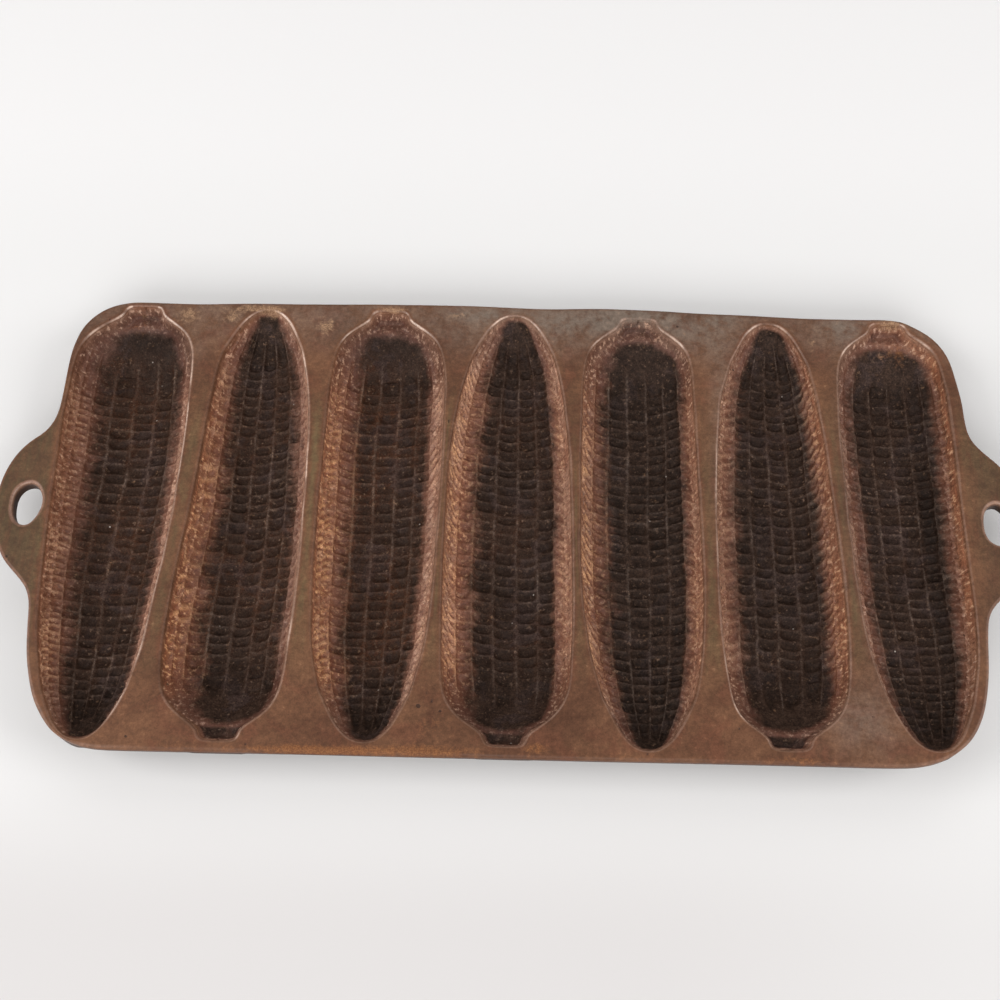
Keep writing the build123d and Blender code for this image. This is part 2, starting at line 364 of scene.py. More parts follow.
def kernels(m, theta, y, rng):
    """How deep in a kernel's pocket each point is (0 on a ridge, 1 in the middle), and a crest mask."""
    bend = 1.3 * np.sin(y / 23.0 + 1.7 * m.n) + 0.8 * np.sin(y / 9.0 + m.n)
    # The rows close up towards the lips.
    even_ = theta + 0.6 * np.clip(theta - 145, 0, None) - 0.6 * np.clip(35 - theta, 0, None)
    t = (even_ - PHASE[m.n] + bend) / ROW
    base = np.floor(t).astype(int)
    t = t + 0.05 * grain(base * 3.1, y, 7, 40 + m.n)
    row = np.floor(t).astype(int)
    p = (t - row) * 2 - 1
    q = np.zeros_like(p)
    each = np.ones_like(p)
    beads = np.zeros(p.shape, bool)
    for r in np.unique(row):
        pick = row == r
        outer = abs(PHASE[m.n] + (r + 0.5) * ROW - 90) > 48
        size = BEAD[m.n] if outer and PHASE[m.n] + (r + 0.5) * ROW > 90 else 1.0
        at, cuts = -68.0 + rng.uniform(0, 3), []
        while at < 62:
            cuts.append(at)
            at += size * (2.75 + 0.62 * (at + 65) / 120) * (1 + 0.13 * rng.standard_normal())
        cuts = np.array(cuts)
        depth = 1 + 0.20 * rng.standard_normal(len(cuts))
        slant = 0.22 * rng.standard_normal() + (m.way * SLANT[m.n] if outer else 0)
        beads[pick] = outer
        yy = y[pick] + slant * p[pick] - 0.3 * (1 - p[pick] ** 2)
        k = np.clip(np.searchsorted(cuts, yy) - 1, 0, len(cuts) - 2)
        q[pick] = (yy - cuts[k]) / (cuts[k + 1] - cuts[k]) * 2 - 1
        each[pick] = depth[k]
    a, b = np.abs(p), np.abs(np.clip(q, -1, 1))
    # Cross ridges die out before the long ones do, at the butt and at the tip.
    rag = 3.0 * grain(row * 5.3, y, 2.5, 70 + m.n)
    tip = step(-61, -52, y + rag) if m.way > 0 else step(-57, -44, y + rag)
    cross = (0.18 + 0.82 * tip) * (1 - 0.94 * step(37.5, 46.0, y + rag))
    cross = cross * (1 - 0.35 * step(0.35, 0.9, grain(row * 3.7, y, 6, 80 + m.n)))
    cell = (1 - a ** 3.0) * (1 - 0.74 * cross * b ** 2.7)
    broken = 0.50 + 0.55 * grain(row * 2.9 + p, y, 1.9, 83 + m.n)
    crest = np.maximum(step(0.80, 1.0, a), cross * step(0.62, 1.0, b) * np.clip(broken, 0.0, 0.75))
    if m.n < 2:
        bead = cross * step(0.40, 0.80, np.maximum(0.60 * a, b)) * np.clip(0.6 + 0.9 * broken, 0.3, 1)
    else:
        bead = cross * step(0.28, 0.72, b) * (1 - 0.45 * step(0.55, 1.0, a))
    crest = np.where(beads, np.maximum(bead, 0.30 * crest), crest)
    cell = np.where(beads, (1 - 0.55 * a ** 3.0) * (1 - 0.85 * cross * b ** 2.2), cell)
    return cell, crest, np.clip(each, 0.6, 1.35)


# ------------------------------------------------------------ pan's underside
def underside(x, y):
    z = np.full(np.shape(x), TOP - PLATE)
    tab = step(127.0, 131.5, np.abs(x)) * (1 - step(21, 31, np.abs(y)))
    z = z - (TAB - PLATE) * tab
    z = z + 0.07 * grain(x, y, 17, 50)
    for m in MOULDS:
        lx, ly = x - m.x0, m.way * y
        plain = np.where(ly < 0, ly * 65.0 / m.tip, ly * 65.0 / m.end) / 1.031
        inside = (np.abs(lx) < 21) & (np.abs(plain) < 66.5)
        px, py = lx[inside] - m.lean(plain[inside]), plain[inside]
        w = np.where(px > 0, m.width(1, py), m.width(-1, py)) + 2.3 * step(62.6, 60, py) * step(-65.6, -63, py)
        rho = np.abs(px) / np.maximum(w, 0.05)
        deep = (smooth_table(DEPTH, np.clip(py, -65.2, 62.5)) + 4.2) * step(-65.6, -63.2, py)
        cup = TOP - np.where(rho < 1, deep * np.sqrt(np.clip(1 - rho ** 2, 0, 1)), 0)
        # Boss under the stalk's socket.
        bx = step(8.6, 6.2, np.abs(px)) * step(66.4, 64.4, py) * step(50, 54, py)
        boss = TOP - (SOCKET + 2.5) * bx
        cup = soft_min(cup, boss, 1.2)
        z[inside] = soft_min(z[inside], cup, 2.2)
    z = soft_max(z, 0.0, 0.5)
    return np.maximum(z - 0.0, 0.0)


# ------------------------------------------------------------------- outline
def closed_outline():
    p = through(OUTLINE, 30, closed=True)
    p = np.vstack([p, p[:1]])
    p = even(p, 0.5)[:-1]
    w = np.exp(-0.5 * (np.arange(-9, 10) * 0.5 / 1.6) ** 2)
    w /= w.sum()
    q = sum(k * np.roll(p, i, 0) for k, i in zip(w, range(-9, 10)))
    return q


def cut_x(k, y):
    """Middle of the web between mould k and k+1, at y."""
    a, b = MOULDS[k], MOULDS[k + 1]
    yy = np.clip(y, -56, 56)
    ya, yb = a.way * yy, b.way * yy
    edge_a = a.x0 + a.lean(ya) + a.width(1, ya)
    edge_b = b.x0 + b.lean(yb) - b.width(-1, yb)
    return (edge_a + edge_b) / 2


CUT_Y = np.linspace(-58, 58, 30)
CUTS = [np.column_stack([cut_x(k, CUT_Y), CUT_Y]) for k in range(6)]


def cut_line_x(k, y):
    c = CUTS[k]
    s = c[:, 0].copy()
    s = np.convolve(np.pad(s, 2, mode="edge"), [0.1, 0.2, 0.4, 0.2, 0.1], "valid")
    return np.interp(y, c[:, 1], s)


def outline_runs():
    """The outline as one loop with a vertex at each cut, unit outward normals, and the cuts' indices."""
    p = closed_outline()
    front = [cut_line_x(k, -68.0) for k in range(6)]
    back = [cut_line_x(k, 68.0) for k in range(6)]
    pts = [tuple(v) for v in even(np.vstack([p, p[:1]]), 0.9)[:-1]]
    pts = np.array(pts)
    marks = {}
    for name, xs, sign in (("front", front, -1), ("back", back, 1)):
        for k, x in enumerate(xs):
            on = np.where(pts[:, 1] * sign > 60)[0]
            near = on[np.argmin(np.abs(pts[on, 0] - x))]
            # Slide that vertex along the edge to the cut's x.
            j = near + 1 if (pts[(near + 1) % len(pts), 0] - x) * (pts[near, 0] - x) < 0 else near - 1
            j %= len(pts)
            t = (x - pts[near, 0]) / (pts[j, 0] - pts[near, 0])
            pts[near] = [x, pts[near, 1] + t * (pts[j, 1] - pts[near, 1])]
            marks[name, k] = near
    d = np.roll(pts, -1, 0) - np.roll(pts, 1, 0)
    d /= np.hypot(*d.T)[:, None]
    nrm = np.column_stack([d[:, 1], -d[:, 0]])
    for (name, k), i in marks.items():
        nrm[i] = (0, -1 if name == "front" else 1)
    return pts, nrm, marks


def run(a, b, total):
    return [(a + i) % total for i in range(((b - a) % total) + 1)]


RIM_STEPS = 6


def rim_sizes(pts):
    """Rounding of the deck's top edge at each outline vertex, less where a lip is close."""
    lips = []
    for m in MOULDS:
        for side in mould_loops(m):
            lips.append(np.column_stack(place(m, *side.T)))
    room = edge_gap(np.vstack(lips), pts)
    r = RIM * (1 + 0.16 * grain(*pts.T, 11, 61))
    return soft_min(r, 0.44 * room, 0.1)


def rim_columns(pts, nrm, size):
    """Points down the deck's edge at each outline vertex: (rows, n, 3)."""
    rows = []
    rim = size[:, None]
    inset = pts - nrm * rim
    zt = deck_height(*inset.T)
    low = pts - nrm * FOOT
    zb = underside(*low.T)
    for b in np.radians(np.linspace(0, 90, RIM_STEPS)):
        q = pts - nrm * rim * (1 - math.sin(b))
        rows.append(np.column_stack([q, zt - size * (1 - math.cos(b))]))
    side_top, side_low = zt - size, zb + FOOT
    for t in (0.34, 0.67):
        rows.append(np.column_stack([pts, side_top + (side_low - side_top) * t]))
    for b in np.radians(np.linspace(90, 0, 4)):
        q = pts - nrm * FOOT * (1 - math.sin(b))
        rows.append(np.column_stack([q, zb + FOOT * (1 - math.cos(b))]))
    return np.array(rows)


def inside(poly, q):
    """Even-odd test of points q in polygon poly."""
    x, y = q[:, 0], q[:, 1]
    c = np.zeros(len(q), bool)
    a, b = poly, np.roll(poly, -1, 0)
    for i in range(len(poly)):
        x0, y0, x1, y1 = a[i, 0], a[i, 1], b[i, 0], b[i, 1]
        if y0 == y1:
            continue
        hit = (y0 > y) != (y1 > y)
        c ^= hit & (x < (x1 - x0) * (y - y0) / (y1 - y0) + x0)
    return c


def edge_gap(poly, q):
    """Distance from points q to the vertices of poly, roughly."""
    out = np.empty(len(q))
    for a in range(0, len(q), 3000):
        out[a:a + 3000] = np.sqrt(((q[a:a + 3000, None] - poly[None]) ** 2).sum(2).min(1))
    return out


def fill(outer, holes, inner):
    """Triangles over a region with holes. Returns (points, triangles), input points first and in order."""
    rings = [outer, *holes]
    pts = np.vstack([*rings, inner]) if len(inner) else np.vstack(rings)
    edges, at = [], 0
    for r in rings:
        n = len(r)
        edges += [(at + i, at + (i + 1) % n) for i in range(n)]
        at += n
    got = delaunay_2d_cdt([Vector(p) for p in pts.tolist()], edges, [], 0, 1e-9)
    where = [o[0] if o else -1 for o in got[3]]
    if min(where) < 0 or len(got[0]) != len(pts):
        raise RuntimeError("fill: the boundary crosses itself")
    where = np.array(where)
    tri = where[np.array(got[2], int)]
    mid = pts[tri].mean(1)
    keep = inside(outer, mid)
    for h in holes:
        keep &= ~inside(h, mid)
    tri = tri[keep]
    a, b, c = pts[tri[:, 0]], pts[tri[:, 1]], pts[tri[:, 2]]
    flip = ((b - a)[:, 0] * (c - a)[:, 1] - (b - a)[:, 1] * (c - a)[:, 0]) < 0
    tri[flip] = tri[flip][:, ::-1]
    return pts, tri


def scatter(box, gap, outer, holes, clear, seed):
    """Interior points on a jittered hexagonal grid, clear of the region's edges."""
    (x0, y0), (x1, y1) = box
    rng = np.random.default_rng(seed)
    ys = np.arange(y0, y1, gap * 0.866)
    pts = []
    for i, y in enumerate(ys):
        xs = np.arange(x0 + (gap / 2 if i % 2 else 0), x1, gap)
        pts.append(np.column_stack([xs, np.full(len(xs), y)]))
    pts = np.vstack(pts) + rng.uniform(-0.13, 0.13, (sum(len(p) for p in pts), 2)) * gap
    keep = inside(outer, pts)
    for h in holes:
        keep &= ~inside(h, pts)
    pts = pts[keep]
    for r in [outer, *holes]:
        pts = pts[edge_gap(r, pts) > clear]
    return pts


# -------------------------------------------------------------- build the skin
HOLE_X, HOLE_A, HOLE_B, HOLE_R = 135.2, 4.0, 6.2, 1.15


def hole_loop(side, grow):
    t = np.linspace(0, 2 * math.pi, 64, endpoint=False)
    # An uneven oval, as filed from the casting.
    wob = 1 + 0.02 * np.cos(3 * t + side) + 0.012 * np.cos(5 * t)
    c = np.column_stack([np.cos(t) * HOLE_A * wob, np.sin(t) * HOLE_B * wob])
    n = np.column_stack([np.cos(t) / HOLE_A, np.sin(t) / HOLE_B])
    n /= np.hypot(*n.T)[:, None]
    return c + n * grow + [side * HOLE_X, 0.3]


class Skin:
    """Collects vertices and faces of one section."""

    def __init__(self):
        self.v, self.f, self.kind, self.count = [], [], [], 0
        self.masks = {k: [] for k in ("depth", "crest", "kern", "cell", "edge", "angle", "plain_y", "face_up", "flank")}
        self.uv = []

    def add(self, verts, faces, kind, uv, **masks):
        verts = np.asarray(verts, float)
        n = len(verts)
        self.v.append(verts)
        faces = np.asarray(faces, int)
        if faces.shape[1] == 3:
            faces = np.column_stack([faces, -np.ones(len(faces), int) - self.count])
        self.f.append(faces + self.count)
        self.kind.append(np.full(len(faces), kind))
        self.uv.append(np.asarray(uv, float))
        for k in self.masks:
            self.masks[k].append(np.broadcast_to(np.asarray(masks.get(k, 0.0), float), (n,)))
        self.count += n


def grid_quads(rows, cols, wrap, flip):
    i, j = np.meshgrid(np.arange(rows - 1), np.arange(cols if wrap else cols - 1), indexing="ij")
    j2 = (j + 1) % cols
    q = np.stack([i * cols + j, i * cols + j2, (i + 1) * cols + j2, (i + 1) * cols + j], 2).reshape(-1, 4)
    return q[:, ::-1] if flip else q


PTS, NRM, MARKS = outline_runs()
RIMS = rim_sizes(PTS)
COLS = rim_columns(PTS, NRM, RIMS)
TOTAL = len(PTS)
CUT_NODES = 96


def cut_nodes(k, low):
    """(x, y) nodes of cut k from front to back, between the insets of the top (or bottom) edge."""
    f, b = MARKS["front", k], MARKS["back", k]
    yf = PTS[f, 1] + (FOOT if low else RIMS[f])
    yb = PTS[b, 1] - (FOOT if low else RIMS[b])
    y = np.linspace(yf, yb, CUT_NODES)
    return np.column_stack([cut_line_x(k, y), y])


def section(n):
    m = MOULDS[n]
    rng = np.random.default_rng(100 + n)
    skin = Skin()

    # Hollow and lip.
    P, masks, plan, loop, nrm, lip_r = hollow(m, rng)
    rows, cols = P.shape[:2]
    spine = rows - 1
    M = ALONG
    flat = P.reshape(-1, 3)
    quads = grid_quads(rows, cols, True, m.way < 0)
    # The last ring is a line: its left half is the same points as its right half.
    same = np.arange(rows * cols)
    left = np.arange(M + 1, cols)
    same[spine * cols + left] = spine * cols + (cols - left)
    flat[spine * cols + left] = flat[spine * cols + (cols - left)]
    quads = same[quads]
    good = np.array([len(set(q)) for q in quads[-cols:]]) == 4
    tris = []
    tail = quads[-cols:][~good]
    for q in tail:
        u = list(dict.fromkeys(q.tolist()))
        if len(u) == 3:
            tris.append(u)
    quads = np.vstack([quads[:-cols], quads[-cols:][good]])
    used = np.zeros(rows * cols, bool)
    used[quads] = True
    if tris:
        used[np.array(tris)] = True
    new = np.cumsum(used) - 1
    # Unrolled across the ear for the map.
    arc = np.vstack([np.zeros(cols), np.cumsum(np.linalg.norm(np.diff(P, axis=0), axis=2), 0)])
    half = arc.max() + 0.5
    side = np.concatenate([np.ones(M + 1), -np.ones(M - 1)])
    mean_arc = arc.mean(1)
    u = side[None] * (half - np.repeat(mean_arc[:, None], cols, 1))
    uvx = u
    uvy = m.way * plan[..., 1]
    uv_h = np.column_stack([uvx.ravel(), uvy.ravel()])
    keep_masks = {k: v.ravel()[used] for k, v in masks.items()}
    at0 = skin.count
    skin.add(flat[used], new[quads], 0, uv_h[used], face_up=1.0, **keep_masks)
    if tris:
        f = np.column_stack([new[np.array(tris)], -np.ones(len(tris), int)])
        skin.f.append(f)
        skin.kind.append(np.full(len(f), 0))
    lip_ring = at0 + new[np.arange(cols)]
    outer_lip = P[0, :, :2] if m.way > 0 else P[0, ::-1, :2]
    lip_ids = lip_ring if m.way > 0 else lip_ring[::-1]

    # Outer boundary of the section, anticlockwise, for the top and the bottom.
    def boundary(low):
        if n == 0:
            runs = run(MARKS["back", 0], MARKS["front", 0], TOTAL)
        elif n == 6:
            runs = run(MARKS["front", 5], MARKS["back", 5], TOTAL)
        else:
            runs = None
        pts, tags = [], []

        def edge(ids):
            for i in ids:
                pts.append(PTS[i] - NRM[i] * (FOOT if low else RIMS[i]))
                tags.append(("o", i))

        def cut(k, up):
            c = cut_nodes(k, low)
            order = range(1, CUT_NODES - 1)
            for j in (order if up else reversed(order)):
                pts.append(c[j])
                tags.append(("c", k, j))

        if n == 0:
            edge(runs)
            cut(0, True)
        elif n == 6:
            edge(runs)
            cut(5, False)
        else:
            edge(run(MARKS["front", n - 1], MARKS["front", n], TOTAL))
            cut(n, True)
            edge(run(MARKS["back", n], MARKS["back", n - 1], TOTAL))
            cut(n - 1, False)
        return np.array(pts), tags

    side_of = {0: -1, 6: 1}.get(n)

    # Deck's top face.
    outer, tags = boundary(False)
    holes = [outer_lip]
    if side_of:
        holes.append(hole_loop(side_of, HOLE_R))
    box = (outer.min(0), outer.max(0))
    inner = scatter(box, 1.25, outer, holes, 0.62, 7 + n)
    pts, tri = fill(outer, holes, inner)
    z = deck_height(*pts.T)
    a, b = len(outer), len(outer) + len(outer_lip)
    ids = np.empty(len(pts), int)
    fresh = np.ones(len(pts), bool)
    fresh[a:b] = False
    first = skin.count
    ids[fresh] = first + np.arange(fresh.sum())
    ids[~fresh] = lip_ids
    verts = np.column_stack([pts, z])[fresh]
    lip_gap = edge_gap(outer_lip, pts)
    rim_gap = edge_gap(outer, pts)
    near = np.exp(-lip_gap / 0.7)
    skin.v.append(verts)
    skin.uv.append(np.column_stack([pts - [m.x0, 0]])[fresh])
    for k in skin.masks:
        val = {"edge": 0.0 * near, "face_up": np.full(len(pts), 2.0)}.get(k, np.zeros(len(pts)))
        skin.masks[k].append(val[fresh])
    skin.count += int(fresh.sum())
    skin.f.append(np.column_stack([ids[tri], -np.ones(len(tri), int)]))
    skin.kind.append(np.full(len(tri), 1))
    top_ids = {t: ids[i] for i, t in enumerate(tags)}
    hole_top = ids[b:b + 64] if side_of else None

    # Underside.
    outer_b, tags_b = boundary(True)
    holes_b = [hole_loop(side_of, HOLE_R)] if side_of else []
    box = (outer_b.min(0), outer_b.max(0))
    inner = scatter(box, 1.15, outer_b, holes_b, 0.6, 70 + n)
    pts, tri = fill(outer_b, holes_b, inner)
    z = underside(*pts.T)
    first = skin.count
    skin.add(np.column_stack([pts, z]), tri[:, ::-1], 2, pts - [m.x0, 0], face_up=-1.0)
    low_ids = {t: first + i for i, t in enumerate(tags_b)}
    hole_low = first + len(outer_b) + np.arange(64) if side_of else None

    # Deck's edge.
    if n in (0, 6):
        groups = [run(MARKS["back", 0], MARKS["front", 0], TOTAL)] if n == 0 else [run(MARKS["front", 5], MARKS["back", 5], TOTAL)]
    else:
        groups = [run(MARKS["front", n - 1], MARKS["front", n], TOTAL), run(MARKS["back", n], MARKS["back", n - 1], TOTAL)]
    columns = {}
    for g in groups:
        c = COLS[:, g]
        rows_c, cols_c = c.shape[:2]
        mid = c[1:-1].reshape(-1, 3)
        first = skin.count
        s = lengths(c[0, :, :2])
        down = np.vstack([np.zeros(cols_c), np.cumsum(np.linalg.norm(np.diff(c, axis=0), axis=2), 0)])
        # The rim is painted paler round the front corners, a painted highlight.
        rim_highlight = 0.04 + 0.34 * step(92, 118, np.abs(c[0, :, 0])) * step(5, -38, c[0, :, 1])
        edge_mask = (rim_highlight * np.exp(-((down - 0.75) / 0.55) ** 2))[1:-1].ravel()
        flank = step(1.9, 3.1, down)[1:-1].ravel()
        uv = np.column_stack([np.broadcast_to(s, (rows_c - 2, cols_c)).ravel(), down[1:-1].ravel()])
        skin.add(mid, np.zeros((0, 4), int), 3, uv, edge=edge_mask, face_up=0.5, flank=flank)
        ids = np.empty((rows_c, cols_c), int)
        ids[1:-1] = first + np.arange(mid.shape[0]).reshape(rows_c - 2, cols_c)
        ids[0] = [top_ids["o", i] for i in g]
        ids[-1] = [low_ids["o", i] for i in g]
        q = grid_quads(rows_c, cols_c, False, False)
        q = ids.ravel()[q][:, ::-1]
        skin.f.append(q)
        skin.kind.append(np.full(len(q), 3))
        for j in (0, cols_c - 1):
            columns[g[j]] = ids[:, j]

    # Hole through the handle.
    if side_of:
        grown = hole_loop(side_of, HOLE_R)
        zt, zb = deck_height(*grown.T), underside(*grown.T)
        rows_h = []
        for b in np.radians([22, 45, 67, 90]):
            q = hole_loop(side_of, HOLE_R * (1 - math.sin(b)))
            rows_h.append(np.column_stack([q, zt - HOLE_R * (1 - math.cos(b))]))
        q = hole_loop(side_of, 0)
        for t in (0.33, 0.67):
            rows_h.append(np.column_stack([q, (zt - HOLE_R) * (1 - t) + (zb + HOLE_R) * t]))
        for b in np.radians([90, 67, 45, 22]):
            q = hole_loop(side_of, HOLE_R * (1 - math.sin(b)))
            rows_h.append(np.column_stack([q, zb + HOLE_R * (1 - math.cos(b))]))
        c = np.array(rows_h)
        first = skin.count
        uv = np.column_stack([np.tile(np.arange(64) * 0.5, len(c)), np.repeat(np.arange(len(c)) * 0.6, 64)])
        # The hole's rounded mouth is painted paler, a painted highlight.
        em = np.repeat([0.45, 0.65, 0.5, 0.2, 0, 0, 0, 0, 0, 0], 64)
        fl = np.repeat([0, 0, 0.2, 0.7, 1, 1, 1, 1, 1, 1], 64)
        skin.add(c.reshape(-1, 3), np.zeros((0, 4), int), 4, uv, edge=em, face_up=0.5, flank=fl)
        ids = np.vstack([hole_top, first + np.arange(c.shape[0] * 64).reshape(-1, 64), hole_low])
        q = ids.ravel()[grid_quads(len(ids), 64, True, False)]
        skin.f.append(q)
        skin.kind.append(np.full(len(q), 4))

    # Cut faces inside the iron, where two sections meet.
    for k, right in ((n - 1, False), (n, True)):
        if not 0 <= k < 6:
            continue
        fi, bi = MARKS["front", k], MARKS["back", k]
        ring = [top_ids["c", k, j] for j in range(1, CUT_NODES - 1)]
        ring += list(columns[bi])
        ring += [low_ids["c", k, j] for j in reversed(range(1, CUT_NODES - 1))]
        ring += list(columns[fi][::-1])
        ring = np.array(ring)
        allv = np.vstack(skin.v)
        flat2 = allv[ring][:, 1:]
        pts, tri = fill(flat2, [], np.zeros((0, 2)))
        # (y, z) anticlockwise faces +x.
        t = ring[tri]
        if not right:
            t = t[:, ::-1]
        # Cut faces use the border's own vertices; they are left out of the smooth normals, so that the skin stays
        # smooth.
        skin.f.append(np.column_stack([t, -np.ones(len(t), int)]))
        skin.kind.append(np.full(len(t), 5))
    return skin


# ------------------------------------------------------------ stains, wear and painted light
def spots(x, y, table):
    """Soft spots (x, y, half width, half height, strength) added up."""
    out = np.zeros(np.shape(x))
    for cx, cy, rx, ry, k in table:
        out += k * np.exp(-((x - cx) / rx) ** 2 - ((y - cy) / ry) ** 2)
    return out


# How much orange shows on each mould's -X and +X wall, and how pale each is: rubbed wear and a painted sheen.
WARM = [(0.50, 0.10), (1.0, 0.10), (1.0, 0.30), (0.85, 0.45), (0.75, 0.45), (0.30, 0.65), (0.05, 0.40)]
PALE = [(0.0, 0.9), (0.2, 1.0), (0.45, 1.0), (0.8, 0.9), (0.5, 0.4), (0.5, 0.1), (0.2, 0.0)]
# Angles at which the black starts on the -X and +X wall, at the far and the near end.
BLACK = [
    ((135, 133), (46, 46)), ((132, 131), (46, 36)), ((130, 127), (44, 43)), ((126, 128), (40, 42)),
    ((130, 127), (34, 38)), ((129, 129), (33, 35)), ((134, 131), (34, 35)),
]
# How soft the black's edge is on the +X wall, in degrees.
SOFT = [34, 60, 30, 28, 30, 36, 36]
# How brown each mould's floor has stayed.
BROWN = [0.75, 0.7, 1.0, 0.45, 0.1, 0.25, 0.2]
RUST = [
    (-52, -67.2, 16, 1.3, 0.9), (-22, -66.6, 14, 1.6, 0.95), (7.6, -65.3, 3.2, 1.3, 1.25), (76, -66.9, 9, 1.3, 0.7),
    (-37, -66.9, 30, 1.1, 0.55), (-86, -66.5, 8, 1.2, 0.35), (-19, -60, 7, 4, 0.35), (115, 58, 5, 3, 0.45),
    (-112, 60.5, 6, 2.5, 0.4), (30, -66.8, 12, 1.0, 0.4),
]
CRUST = [
    (-97.5, 62.6, 2.6, 3.0, 0.85), (-78.5, 65.2, 7.0, 1.3, 1.05), (-84.5, 62.0, 2.2, 1.8, 0.85), (-71.5, 64.8, 3.0, 1.4, 0.8),
    (-55.8, 59.3, 3.0, 2.4, 0.75), (-36.0, 65.9, 4.2, 1.1, 0.95), (-17.5, 64.4, 3.2, 1.0, 0.55), (111.5, 64.2, 3.4, 1.1, 1.1),
    (87.7, 57.2, 0.8, 0.8, 0.9), (-104, 40, 1.5, 6, 0.35),
]
GREY = [
    (33.3, 65.0, 8.5, 2.2, 1.1), (27.0, 62.0, 4.0, 2.0, 0.8), (-12, 64.6, 10, 2.2, 0.4), (96, 62, 7, 5, 0.45), (20, 63, 9, 3, 0.35),
    (-95, 50, 4, 6, 0.25), (60, 64.5, 12, 2, 0.3), (92, -56, 10, 9, 0.5),
    (5, 61, 22, 9, 0.5), (46, 60, 16, 9, 0.5),
    (35.5, 64.5, 4.5, 2.5, 0.7), (60.5, 25, 3.6, 36, 0.55), (98.5, 15, 4, 42, 0.8),
]
PITS = [
    (-19.4, -53.3, 0.9, 0.8, 1), (-23, -55, 0.8, 0.7, 1), (-21, -51, 0.6, 0.6, 0.9), (-17.5, -56.5, 0.6, 0.7, 0.9), (-24.5, -57, 0.5, 0.5, 0.8),
    (-18, 28.7, 0.7, 1.2, 1), (-18.3, 33, 0.4, 1.0, 0.7), (13.4, 53, 0.6, 0.6, 0.9), (95.5, -54.7, 0.7, 0.7, 1), (-106.3, -64.2, 0.8, 0.6, 1),
    (-98.1, -65.0, 0.5, 0.6, 1), (52, -57, 0.5, 0.5, 0.7), (-93, -30.5, 0.4, 0.4, 0.6), (2.5, -66.6, 0.35, 0.9, 1),
]


# Broad lighter and darker areas.
SHADE = [
    (-18, -59, 16, 9, -0.15), (20, -59, 14, 9, -0.11), (-48, -60, 14, 9, -0.06), (93, -57, 12, 9, 0.08),
    (-18, 10, 4, 40, -0.13), (94, 15, 4, 34, -0.28), (18, 10, 4, 40, -0.09), (56, 10, 4, 40, -0.09), (-56, 15, 4, 35, 0.14),
    (119.5, 0, 3, 36, -0.42), (125.2, 24, 1.7, 26, -0.06), (22.5, -3, 3, 35, -0.12), (-14, -6, 3, 35, 0.28), (-122, -6, 3.5, 35, -0.12),
    (-109.6, 56, 11, 5, -0.48), (-38.4, 56, 11, 5, -0.36), (35.5, 56, 11, 5, -0.12),
    (-109, -4, 8, 50, 0.16), (-73, -3.5, 8, 50, 0.18), (-37, -3, 8, 50, 0.13), (110, 2, 8, 50, 0.26),
]


